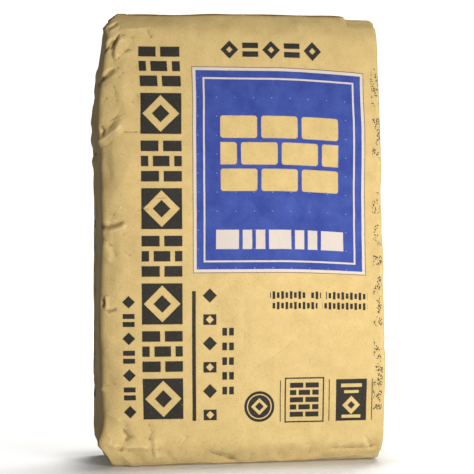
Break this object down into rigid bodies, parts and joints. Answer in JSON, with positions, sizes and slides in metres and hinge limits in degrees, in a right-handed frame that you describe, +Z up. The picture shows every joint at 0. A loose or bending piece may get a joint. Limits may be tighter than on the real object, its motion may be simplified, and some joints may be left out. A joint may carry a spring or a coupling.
{
  "type": "filled paper cement bag",
  "caption": "Filled kraft paper valve sack of cement with block-shaped ends, standing upright on its lower end.",
  "frame": {"origin": "middle of the bag's footprint, on the floor it stands on", "axes": "+Z up from the lower block end to the upper one, which has the valve; +X to the right as one looks at the printed face; +Y from the printed face to the back"},
  "size_m": [0.311, 0.126, 0.48],
  "materials": {
    "sack_paper": "matte printed kraft paper",
    "cover_sheet": "matte plain kraft paper",
    "valve_paper": "matte light kraft paper"
  },
  "bodies": {
    "root": {"filled_sack": "sack_paper", "bottom_cover_patch": "cover_sheet", "top_cover_patch": "cover_sheet", "valve_sleeve": "valve_paper"}
  },
  "joints": []
}
